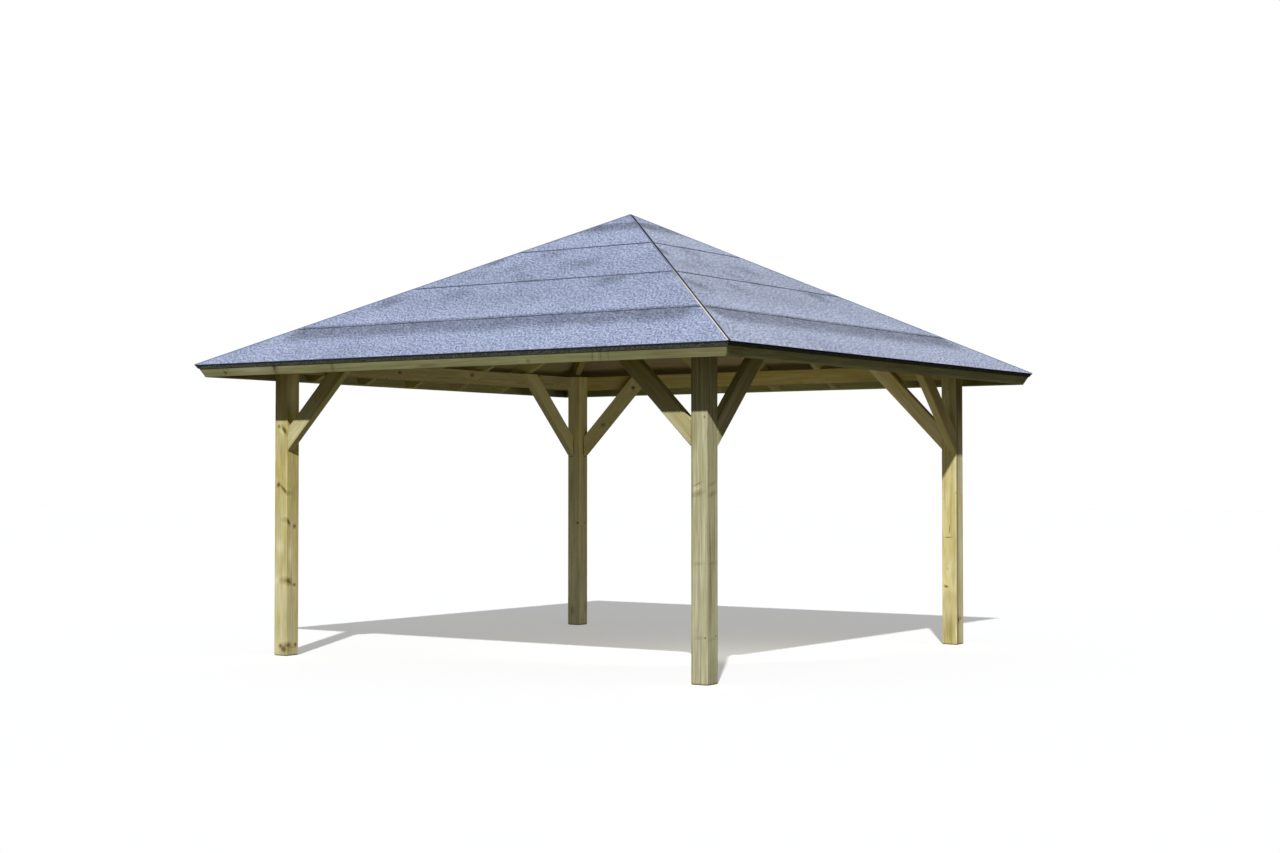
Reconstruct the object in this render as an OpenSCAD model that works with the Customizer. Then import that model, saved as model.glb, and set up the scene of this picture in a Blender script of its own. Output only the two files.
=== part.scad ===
// Open timber carport pavilion on four posts, square in plan, with a pyramid roof.
// The origin is on the ground at the middle of the plan, +Z is up and the front faces -Y.

/* [Plan] */
// Distance across the outer faces of the posts, both ways
outer_w = 3540; // [2800:10:4600]
// Clear height under the beams
beam_under = 1959; // [1600:2:2600]

/* [Posts] */
// Side of the square posts
post_w = 115; // [90:1:150]

/* [Beams] */
// Height of the beams
beam_h = 110; // [90:1:200]
// Thickness of the beams, which are fixed outside the posts
beam_t = 57; // [35:1:70]

/* [Knee braces] */
// Width of the knee braces across the grain
brace_w = 110; // [80:1:140]
// Thickness of the knee braces
brace_t = 57; // [35:1:70]
// Rise of a brace's lower edge from the post to the underside of the beam
brace_rise = 548; // [350:1:700]

/* [Rafters] */
// Pitch of the roof in degrees
roof_pitch = 27.3; // [18:0.1:35]
// Level width of the seat cut where a rafter sits on its beam and on the posts and braces inside it
seat_w = 74; // [45:1:100]
// Thickness of the rafters
rafter_t = 45; // [35:1:60]
// Depth of the rafters
rafter_d = 110; // [95:1:160]
// Distance between the middles of the rafters
rafter_step = 545; // [400:5:700]
// Thickness of the hip rafters
hip_t = 45; // [35:1:60]
// How far the hip rafters hang below the other rafters, measured plumb
hip_drop = 4; // [0:1:40]
// Length of the king block at the peak
king_l = 240; // [180:5:400]

/* [Roof covering] */
// Level distance from the posts' outer faces to the edge of the felt
overhang = 390; // [200:5:600]
// Thickness of the roof boards
board_t = 16; // [12:1:24]
// Thickness of the roofing felt
felt_t = 3; // [2:0.5:6]
// Width of the strips along the hips
hip_strip_w = 18; // [10:1:60]
// Thickness of the strips along the hips
hip_strip_t = 3; // [2:0.5:8]

/* [Eaves] */
// Depth of the fascia boards
fascia_d = 82; // [60:1:90]
// Thickness of the fascia boards
fascia_t = 20; // [16:1:28]
// Depth of the felted drip strips along the eaves
drip_d = 33; // [20:1:50]
// Thickness of the felted drip strips along the eaves
drip_t = 8; // [5:1:20]

/* [Hidden] */
// Sides and corners go anticlockwise in plan, and corner i is between side i and the next
SIDES = ["right", "rear", "left", "front"];
CORNERS = ["rear_right", "rear_left", "front_left", "front_right"];

half_w = outer_w / 2;
beam_top = beam_under + beam_h;
fall = tan(roof_pitch);                 // drop for each unit of level distance
skin_t = felt_t + board_t;              // felt and boards together, over the rafters
// Peak of the felt, and the slope lengths from there to the edge of the felt,
// to the fascias' outer faces and to the ends of the rafters
peak_z = beam_top + (half_w + beam_t - seat_w) * fall + (skin_t + rafter_d) / cos(roof_pitch);
felt_s = (half_w + overhang) / cos(roof_pitch);
board_s = felt_s - drip_t;
rafter_s = board_s - fascia_t;
tail_z = roof_pt(rafter_s, skin_t + fascia_d)[1];   // the rafter tails are cut level here
reach = half_w + overhang;              // level distance from the middle to the edge
// The king block has eight faces, each a little wider than a rafter
king_margin = 2.5;
king_w = (max(rafter_t, hip_t) + 2 * king_margin) / tan(22.5);
// Rafters on each side of the middle one, all of them clear of the posts
jacks = floor((half_w - post_w - rafter_t / 2) / rafter_step);
wood = "#a99f66";
shaded_wood = "#8b8250";
slate = "#99a2bb";
dark_felt = "#39424b";

// Point of a roof slope, as [level distance, height], at slope length s from the peak
// and at depth d square under the felt's surface
function roof_pt(s, d) = [
    s * cos(roof_pitch) - d * sin(roof_pitch),
    peak_z - s * sin(roof_pitch) - d * cos(roof_pitch)
];

// Point at depth d under the felt, on the upright line through the peak
function peak_pt(d) = [0, peak_z - d / cos(roof_pitch)];

// What is drawn for the right-hand side goes round to side i
module side(i) rotate([0, 0, 90 * i]) children();

// An outline of level distance and height, extruded evenly along the side over a length
module along_side(length)
    rotate([90, 0, 0]) linear_extrude(height = length, center = true) children();

// Everything over the right-hand quarter of the plan, between the two diagonals,
// set in from each diagonal by a gap
module quarter(gap = 0) {
    inset = gap * sqrt(2);
    far = 2 * reach;
    linear_extrude(height = 2 * peak_z)
        polygon([[inset, 0], [far, inset - far], [far, far - inset]]);
}

// One slope of a layer between depths d0 and d1, down to slope length s, mitred at the hips
module slope_layer(d0, d1, s)
    intersection() {
        along_side(2 * reach)
            polygon([peak_pt(d0), roof_pt(s, d0), roof_pt(s, d1), peak_pt(d1)]);
        quarter();
    }

// A strip along the eaves between slope lengths s0 and s1 and depths d0 and d1, mitred
module eaves_layer(s0, s1, d0, d1)
    intersection() {
        along_side(2 * reach)
            polygon([roof_pt(s0, d0), roof_pt(s1, d0), roof_pt(s1, d1), roof_pt(s0, d1)]);
        quarter();
    }

// The space for the roof's frame: under the boards, inside the fascias and over the tail cut
module frame_space() {
    eaves = [roof_pt(rafter_s, skin_t), roof_pt(rafter_s, skin_t + fascia_d)];
    outline = concat(
        [peak_pt(skin_t)], eaves,
        [[-eaves[1][0], eaves[1][1]], [-eaves[0][0], eaves[0][1]]]
    );
    intersection() {
        along_side(2 * reach) polygon(outline);
        side(1) along_side(2 * reach) polygon(outline);
    }
}

// Everything within the beams' outer faces up to their top
module wall_space() {
    side = outer_w + 2 * beam_t;
    translate([-side / 2, -side / 2, 0]) cube([side, side, beam_top]);
}

// Upright eight-sided column on which the king block and the ends of the rafters are cut
module king_column()
    translate([0, 0, beam_top]) rotate([0, 0, 22.5])
        cylinder(h = peak_z, d = king_w / cos(22.5), $fn = 8);

// Square post, as high as the top of the beams
module post(i)
    color(wood) side(i) translate([half_w - post_w, half_w - post_w, 0])
        cube([post_w, post_w, beam_top]);

// Beam against the posts' outer faces: over the other beams' ends at the front and rear,
// and between those two on the left and right
module beam(i) {
    length = outer_w + (i % 2 == 1 ? 2 * beam_t : 0);
    color(shaded_wood) side(i)
        translate([half_w, -length / 2, beam_under]) cube([beam_t, length, beam_h]);
}

// Knee brace at 45 degrees from a post up along a beam's inner face to its top, flush with
// the post's outer face, at the end of side i nearest the next side, or with back = true
// at the other end
module brace(i, back = false) {
    foot = half_w - post_w;
    cut = brace_w * sqrt(2);
    rise = brace_rise + beam_h;
    color(wood) side(i) mirror([0, back ? 1 : 0, 0])
        translate([half_w - brace_t, 0, 0]) rotate([90, 0, 90])
            linear_extrude(height = brace_t) polygon([
                [foot, beam_top - rise],
                [foot - rise, beam_top],
                [foot - rise + cut, beam_top],
                [foot, beam_top - rise + cut]
            ]);
}

// Eight-sided block at the peak, where the rafters meet
module king_block()
    color(shaded_wood) intersection() {
        king_column();
        frame_space();
        translate([-king_w, -king_w, peak_pt(skin_t)[1] - king_l])
            cube([2 * king_w, 2 * king_w, 2 * king_l]);
    }

// Hip rafter from the king block to corner i, bevelled on top to meet the boards
// and notched over the corner of the beams
module hip_rafter(i) {
    run = reach * sqrt(2);
    drop = run * fall / sqrt(2);
    over = peak_z;
    under = peak_pt(skin_t + rafter_d)[1] - hip_drop;
    color(shaded_wood) difference() {
        intersection() {
            side(i) rotate([0, 0, 45]) along_side(hip_t)
                polygon([[0, over], [run, over - drop], [run, under - drop], [0, under]]);
            frame_space();
        }
        king_column();
        wall_space();
    }
}

// Rafters of side i: the middle one runs to the king block and the jacks to the hips
module rafters(i) {
    under = peak_pt(skin_t + rafter_d);
    outline = [
        peak_pt(skin_t), roof_pt(rafter_s, skin_t), roof_pt(rafter_s, skin_t + fascia_d),
        [(under[1] - tail_z) / fall, tail_z], under
    ];
    color(shaded_wood) difference() {
        intersection() {
            side(i) for (k = [-jacks:jacks])
                translate([0, k * rafter_step, 0]) along_side(rafter_t) polygon(outline);
            side(i) quarter(hip_t / 2);
        }
        king_column();
        wall_space();
    }
}

// Roof boards of side i
module roof_boards(i) color(shaded_wood) side(i) slope_layer(felt_t, skin_t, board_s);

// Fascia board of side i, square to the slope
module fascia(i)
    color(wood) side(i) eaves_layer(rafter_s, board_s, skin_t, skin_t + fascia_d);

// Roofing felt of side i
module roof_felt(i) color(slate) side(i) slope_layer(0, felt_t, felt_s);

// Felted drip strip of side i, over the edge of the boards and the top of the fascia
module drip_strip(i)
    color(dark_felt) side(i) eaves_layer(board_s, felt_s, felt_t, felt_t + drip_d);

// Strip over the hip of corner i, a part of it on each slope
module hip_strip(i)
    color(dark_felt) intersection() {
        for (k = [i, i + 1]) side(k) slope_layer(-hip_strip_t, 0, felt_s);
        side(i) rotate([0, 0, 45]) along_side(hip_strip_w) square([2 * reach, 2 * peak_z]);
        side(i) cube([reach, reach, 2 * peak_z]);
    }

for (i = [0:3]) {
    post(i);
    beam(i);
    brace(i);
    brace(i, true);
    hip_rafter(i);
    rafters(i);
    roof_boards(i);
    fascia(i);
    roof_felt(i);
    drip_strip(i);
    hip_strip(i);
}
king_block();
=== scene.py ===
import math

import bmesh
import bpy
import numpy as np
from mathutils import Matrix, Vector


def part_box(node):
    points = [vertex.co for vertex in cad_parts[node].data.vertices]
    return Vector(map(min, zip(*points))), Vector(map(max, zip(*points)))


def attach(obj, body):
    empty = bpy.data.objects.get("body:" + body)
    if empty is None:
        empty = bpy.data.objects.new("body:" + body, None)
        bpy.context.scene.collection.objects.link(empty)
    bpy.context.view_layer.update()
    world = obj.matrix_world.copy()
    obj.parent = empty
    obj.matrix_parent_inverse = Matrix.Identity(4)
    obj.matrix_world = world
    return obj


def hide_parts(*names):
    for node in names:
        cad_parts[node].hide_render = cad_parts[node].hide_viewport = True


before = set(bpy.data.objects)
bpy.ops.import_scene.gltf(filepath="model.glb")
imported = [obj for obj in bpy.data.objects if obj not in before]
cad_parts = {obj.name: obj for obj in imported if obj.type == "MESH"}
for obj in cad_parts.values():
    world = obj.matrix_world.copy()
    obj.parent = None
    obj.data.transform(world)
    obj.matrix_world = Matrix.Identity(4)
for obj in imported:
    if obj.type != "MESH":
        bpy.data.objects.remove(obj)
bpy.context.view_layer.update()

sideNames = ["right", "rear", "left", "front"]  # anticlockwise in plan, i counts them
cornerNames = ["rear_right", "rear_left", "front_left", "front_right"]  # corner i: sides i and i + 1
zUp = np.array([0.0, 0.0, 1.0])


def outwards(i):
    # level direction square to side i, away from the middle
    return np.round([math.cos(i * math.pi / 2), math.sin(i * math.pi / 2), 0.0])


def sideways(i):
    # level direction along side i, anticlockwise
    return outwards(i + 1)


def boxOf(node):
    low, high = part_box(node)
    return np.array(low), np.array(high)


def meshPoints(mesh):
    points = np.empty(len(mesh.vertices) * 3)
    mesh.vertices.foreach_get("co", points)
    return points.reshape(-1, 3)


def nodePoints(node):
    return meshPoints(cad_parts[node].data)


# The largest face of the felt gives the pitch, and its highest point the peak
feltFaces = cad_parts["roof_felt_front"].data.polygons
pitch = math.acos(max((f for f in feltFaces if f.normal.z > 0), key=lambda f: f.area).normal.z)
cosPitch, sinPitch = math.cos(pitch), math.sin(pitch)
peak = boxOf("roof_felt_front")[1][2]


def downSlope(i):
    return outwards(i) * cosPitch - zUp * sinPitch


def intoSlope(i):
    return -outwards(i) * sinPitch - zUp * cosPitch


def slopePoint(i, s, d, w):
    # point of slope i: s down the slope from the peak, d square under the felt, w along the side
    s, d, w = np.broadcast_arrays(s, d, w)
    return (zUp * peak + s[..., None] * downSlope(i) + d[..., None] * intoSlope(i)
            + w[..., None] * sideways(i))


def slopeCoords(i, points):
    # the same three distances, worked out from points
    below = points - zUp * peak
    return below @ downSlope(i), below @ intoSlope(i), below @ sideways(i)


def slopeRange(node, i):
    # least and greatest s, then least and greatest d, of a node of slope i
    s, d = slopeCoords(i, nodePoints(node))[:2]
    return s.min(), s.max(), d.min(), d.max()


def hipWay(i, turn=1):
    # level direction from the peak towards corner i, or with turn -1 the one square to it
    return (outwards(i) + turn * outwards(i + 1)) / 2 ** 0.5


def hipPlane(i, end):
    # upright plane along the hip at the anticlockwise (+1) or clockwise (-1) end of side i
    return zUp * 0.0, sideways(i) * end - outwards(i)


def smoothRandom(count, seed, width=5):
    # random numbers averaged over their neighbours, mostly between -1 and 1
    draws = np.random.default_rng(seed).normal(size=count + width - 1)
    return np.convolve(draws, np.ones(width), "valid") / width ** 0.5 / 2


def smoothStep(x, low, high):
    # 0 below low, 1 above high and an even S-curve between
    t = np.clip((x - low) / (high - low), 0, 1)
    return t * t * (3 - 2 * t)


print("stage: mesh tools")

meshLook = {"weldsPerMetre": 1e6, "merge": 2e-5, "flat": 1, "bevelAbove": 30}
# spacing of a timber's rows, how far its eased edges wander and within which share of their width, how
# far off the pith may lie, and which length of the trunk the piece is cut from
timberLook = {"step": 0.08, "wander": 0.3, "easeRange": (0.5, 1.6), "pith": (0.03, 0.09),
              "trunk": (-19, -1)}


# Makes a closed solid of a grid whose rows are rings. Neighbouring rings are joined by four-sided faces,
# and each end ring is filled like a ladder: point j is joined to the point as far from the ring's end.
def closedTube(points, fields):
    rows, cols = points.shape[:2]
    index = np.arange(rows * cols).reshape(rows, cols)
    ahead = np.roll(index, -1, axis=1)
    walls = np.stack([index[:-1], ahead[:-1], ahead[1:], index[1:]], -1).reshape(-1, 4)
    half = cols // 2
    near, far = np.arange(half - 1), np.arange(cols - 1, half, -1)
    rungs = [index[0, np.stack([near + 1, near, far, far - 1], -1)],
             index[-1, np.stack([near, near + 1, far - 1, far], -1)]]
    quads = np.concatenate([walls, *rungs])
    flat = {key: value.reshape(rows * cols, *value.shape[2:]) for key, value in fields.items()}
    return closeUp(points.reshape(-1, 3), quads, flat)


# Points of a solid that fall together become one, faces that lose a corner become triangles, and all
# faces are turned round when the volume that they enclose comes out negative.
def closeUp(points, quads, fields):
    keys = np.round(points * meshLook["weldsPerMetre"]).astype(np.int64)
    first, merged = np.unique(keys, axis=0, return_index=True, return_inverse=True)[1:]
    quads = merged.reshape(-1)[quads]
    lost = quads == np.roll(quads, -1, axis=1)
    whole, thin = quads[lost.sum(1) == 0], quads[lost.sum(1) == 1]
    triangles = thin[~lost[lost.sum(1) == 1]].reshape(-1, 3)
    points = points[first]
    fans = np.concatenate([whole[:, [0, 1, 2]], whole[:, [0, 2, 3]], triangles])
    a, b, c = points[fans[:, 0]], points[fans[:, 1]], points[fans[:, 2]]
    if np.einsum("ij,ij->", a, np.cross(b, c)) < 0:
        whole, triangles = whole[:, ::-1], triangles[:, ::-1]
    return {"points": points, "quads": whole, "triangles": triangles,
            "fields": {key: value[first] for key, value in fields.items()}}


def joinSolids(name, solids):
    # one mesh of several closed solids, with their fields as point attributes
    counts = np.cumsum([0] + [len(solid["points"]) for solid in solids])
    faces = []
    for start, solid in zip(counts, solids):
        faces += (solid["quads"] + start).tolist() + (solid["triangles"] + start).tolist()
    mesh = bpy.data.meshes.new(name)
    mesh.from_pydata(np.concatenate([solid["points"] for solid in solids]), [], faces)
    setFields(mesh, {key: np.concatenate([solid["fields"][key] for solid in solids])
                     for key in solids[0]["fields"]})
    return mesh


def setFields(mesh, fields):
    # three numbers for each point under each name
    for key, values in fields.items():
        values = values.astype(np.float32).ravel()
        mesh.attributes.new(key, "FLOAT_VECTOR", "POINT").data.foreach_set("vector", values)


def addObject(name, data):
    thing = bpy.data.objects.new(name, data)
    bpy.context.scene.collection.objects.link(thing)
    return thing


def makePiece(name, shape, material, slotName, *nodes, sharp=35, flats=True):
    # shape is a mesh or a list of solids
    mesh = joinSolids(name, shape) if isinstance(shape, list) else shape
    mesh.materials.clear()
    mesh.materials.append(material)
    mesh.shade_smooth()
    mesh.set_sharp_from_angle(angle=math.radians(sharp))
    piece = addObject(name, mesh)
    if flats:
        # flat faces keep their own direction, so only the eased edges turn the light
        piece.modifiers.new("flats", "WEIGHTED_NORMAL").keep_sharp = True
    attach(piece, "root")
    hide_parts(*nodes)


# A rectangle with rounded corners: each corner is a quarter circle about a middle that stands in from
# the rectangle's corner by the radius. Sizes are given for each row, and the ring has 16 points.
def roundedRing(rows):
    turn = (np.arange(4)[:, None] * math.pi / 2 + np.linspace(0, math.pi / 2, 4)).ravel()
    signA, signB = np.repeat([1, -1, -1, 1], 4), np.repeat([1, 1, -1, -1], 4)
    halfA, halfB, radius = (rows[key][:, None] for key in ("halfA", "halfB", "radius"))
    return (signA * (halfA - radius) + radius * np.cos(turn),
            signB * (halfB - radius) + radius * np.sin(turn))


def easedRows(v, halfA, halfB, ease, seed, look):
    # the radius of the eased edges wanders along the timber
    radius = ease * (1 + look["wander"] * smoothRandom(len(v), seed))
    return {"v": v, "halfA": halfA, "halfB": halfB,
            "radius": np.clip(radius, *np.multiply(ease, look["easeRange"]))}


def evenRows(length, halfA, halfB, ease, seed, step=timberLook["step"]):
    # rows of one section, a little smaller at both ends to ease those edges too
    count = max(int(length / step), 2)
    v = np.concatenate([[0], np.linspace(ease / length, 1 - ease / length, count), [1]])
    inset = np.zeros(count + 2)
    inset[[0, -1]] = ease
    return easedRows(v, halfA - inset, halfB - inset, ease, seed, timberLook)


def stripRows(node, i, look, short=0.0):
    # middle, width, depth and rows of a straight piece along the eaves of slope i
    s0, s1, d0, d1 = slopeRange(node, i)
    d1 -= short
    wide, deep = s1 - s0, d1 - d0
    rows = evenRows(2 * s1 * cosPitch, wide / 2, deep / 2, look["ease"], look["edgeSeed"] + i,
                    look["step"])
    return slopePoint(i, (s0 + s1) / 2, (d0 + d1) / 2, 0.0), wide, deep, rows


# A squared timber: the rounded ring carried along a straight line. Every long line of it runs from the
# starting plane to the ending plane: P = middle + a * across + b * up + (t0 + (t1 - t0) * v) * way.
def timber(middle, across, up, way, rows, start, end, seed, pith=None):
    a, b = roundedRing(rows)
    base = middle + a[..., None] * across + b[..., None] * up
    t0, t1 = (((plane[0] - base) @ plane[1]) / (way @ plane[1]) for plane in (start, end))
    t = t0 + (t1 - t0) * rows["v"][:, None]
    points = base + t[..., None] * way
    return closedTube(points, woodFields(np.stack([a, b, t], -1), seed, pith))


# Where a point lies in the tree: its distances from the pith, which is a little outside the piece's
# middle, and its length along the trunk, with three random numbers for the piece's own tone.
def woodFields(local, seed, pith=None):
    draw = np.random.default_rng(seed)
    turn, away = draw.uniform(0, 2 * math.pi), draw.uniform(*timberLook["pith"])
    a, b = pith or (away * math.cos(turn), away * math.sin(turn))
    tone = draw.uniform(0, 1, 3)
    return {"grain": local - np.array([a, b, draw.uniform(*timberLook["trunk"])]),
            "tone": np.broadcast_to(tone, local.shape).copy()}


# A copy of a frame node with its doubles merged, its flat triangles made whole faces again and its
# edges rounded, as a mesh of its own.
def easedCopy(node, ease):
    work = bmesh.new()
    work.from_mesh(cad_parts[node].data)
    bmesh.ops.remove_doubles(work, verts=work.verts, dist=meshLook["merge"])
    bmesh.ops.dissolve_limit(work, angle_limit=math.radians(meshLook["flat"]), verts=work.verts,
                             edges=work.edges)
    mesh = bpy.data.meshes.new(node + "_work")
    work.to_mesh(mesh)
    work.free()
    holder = addObject(node + "_work", mesh)
    bevel = holder.modifiers.new("ease", "BEVEL")
    bevel.width, bevel.segments, bevel.limit_method = ease, 2, "ANGLE"
    bevel.angle_limit = math.radians(meshLook["bevelAbove"])
    eased = bpy.data.meshes.new_from_object(
        holder.evaluated_get(bpy.context.evaluated_depsgraph_get()))
    bpy.data.objects.remove(holder)
    bpy.data.meshes.remove(mesh)
    return eased


print("stage: shader tools")


def paint(red, green, blue):
    # a colour from screen values of 0 to 255
    line = [value / 255 for value in (red, green, blue)]
    return [v / 12.92 if v <= 0.04045 else ((v + 0.055) / 1.055) ** 2.4 for v in line] + [1.0]


def paints(**screen):
    return {key: paint(*values) for key, values in screen.items()}


class Value:
    # one output of a node; arithmetic on it adds Math nodes to the same tree
    def __init__(self, tree, socket):
        self.tree, self.socket = tree, socket

    def math(self, operation, *numbers):
        return self.tree.add("Math", {"operation": operation}, dict(enumerate(numbers)))

    def __add__(self, other):
        return self.math("ADD", self, other)

    def __sub__(self, other):
        return self.math("SUBTRACT", self, other)

    def __rsub__(self, other):
        return self.math("SUBTRACT", other, self)

    def __mul__(self, other):
        return self.math("MULTIPLY", self, other)

    def __truediv__(self, other):
        return self.math("DIVIDE", self, other)

    def __rtruediv__(self, other):
        return self.math("DIVIDE", other, self)

    def __pow__(self, other):
        return self.math("POWER", self, other)

    __radd__, __rmul__ = __add__, __mul__


class Tree:
    # fills a node tree; add() takes a node's type, its settings and what its sockets hold
    def __init__(self, nodeTree):
        self.nodes, self.links = nodeTree.nodes, nodeTree.links
        self.nodes.clear()

    def add(self, kind, settings=None, sockets=None, output=0):
        node = self.nodes.new("ShaderNode" + kind)
        for key, value in (settings or {}).items():
            if key == "stops":
                ramp = node.color_ramp.elements
                while len(ramp) < len(value):
                    ramp.new(0.5)
                for element, (place, colour) in zip(ramp, value):
                    element.position, element.color = place, colour
            else:
                setattr(node, key, value)
        for key, value in (sockets or {}).items():
            if isinstance(value, Value):
                self.links.new(value.socket, node.inputs[key])
            else:
                node.inputs[key].default_value = value
        return Value(self, node.outputs[output]) if node.outputs else node

    def stretch(self, vector, x, y, z):
        return self.add("VectorMath", {"operation": "MULTIPLY"}, {0: vector, 1: (x, y, z)})

    def split(self, vector):
        parts = self.add("SeparateXYZ", None, {0: vector})
        return [Value(self, socket) for socket in parts.socket.node.outputs]

    def noise(self, vector, scale=1.0, detail=2.0, rough=0.5, output="Fac"):
        return self.add("TexNoise", None, {"Vector": vector, "Scale": scale, "Detail": detail,
                                           "Roughness": rough}, output)

    def field(self, name):
        return self.add("Attribute", {"attribute_name": name}, output="Vector")

    def granules(self, vector, perMetre=420.0):
        # one random number for each small cell
        return self.split(self.add("TexVoronoi", None, {"Vector": vector, "Scale": perMetre}, "Color"))[0]

    def ramp(self, value, stops):
        return self.add("ValToRGB", {"stops": stops}, {0: value})

    def step(self, value, low, high, start=0.0, end=1.0):
        # S-curve from start at low to end at high
        return self.add("MapRange", {"interpolation_type": "SMOOTHSTEP"},
                        {0: value, 1: low, 2: high, 3: start, 4: end})

    def mix(self, factor, first, second):
        return self.add("Mix", {"data_type": "RGBA"}, {0: factor, 6: first, 7: second}, 2)


def millimetres(values):
    return [value / 1000 for value in values]


def spots(rows):
    # knots or marks from rows of place and half sizes in millimetres, and any amount and lean
    full = ([*row, 0, 0][:8] for row in rows)
    return [{"at": millimetres(row[:3]), "size": millimetres(row[3:6]), "amount": row[6],
             "turn": (0, row[7], 0)} for row in full]


def newMaterial(name):
    material = bpy.data.materials.new(name)
    material.use_nodes = True
    return material, Tree(material.node_tree)


def finishMaterial(tree, colour, roughness, height, bumpDepth, specular):
    bump = tree.add("Bump", None, {"Strength": 1.0, "Distance": bumpDepth, "Height": height})
    surface = tree.add("BsdfPrincipled", None, {
        "Base Color": colour, "Roughness": roughness, "Normal": bump, "Specular IOR Level": specular})
    tree.add("OutputMaterial", None, {"Surface": surface})


# How far the point being shaded is from each spot, counted in the spot's own half sizes
def spotReach(tree, place, spot):
    local = tree.add("Mapping", {"vector_type": "TEXTURE"}, {
        "Vector": place, "Location": spot["at"], "Scale": spot["size"],
        "Rotation": [math.radians(angle) for angle in spot.get("turn", (0, 0, 0))]})
    return tree.add("VectorMath", {"operation": "LENGTH"}, {0: local}, "Value")


# Patterns in the wood: how many to a metre across and along the trunk, detail and roughness
woodPatterns = {"wide": ((38, 38, 1.8), 3, 0.6), "fine": ((125, 125, 3.0), 2, 0.6),
                "patch": ((13, 13, 2.8), 3, 0.6), "warm": ((20, 20, 4.0), 3, 0.6),
                "fibre": ((800, 800, 16), 2, 0.5), "bend": ((6, 6, 0.8), 2, 0.5)}
# their shares in light and dark
woodShades = {"wide": 0.4, "years": 0.3, "fine": 0.5, "patch": 0.4, "fibre": 0.16}
woodBands = (0.42, 0.62)  # where in a pattern the bands of colour begin and are full
patchBands = (0.38, 0.68)
ringStops = [(0.0, (0, 0, 0, 1)), (0.45, (0.1, 0.1, 0.1, 1)), (0.88, (1, 1, 1, 1)), (1.0, (0, 0, 0, 1))]
# A knot's colours from the outside in: the strength, then between which distances, in the knot's half
# sizes, it fades in (unless it fills the middle) and out
knotLayers = (("bright", 0.12, 2.0, 3.0, 3.2, 4.6), ("halo", 0.55, 0.9, 3.2), ("knot", 0.72, 0.6, 1.2),
              ("rim", 0.3, 0.55, 0.9, 1.0, 1.5))
paintedFootLight = (0.1, 1.5)  # heights between which the painted light from the sunlit ground on the posts' feet fades out
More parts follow.
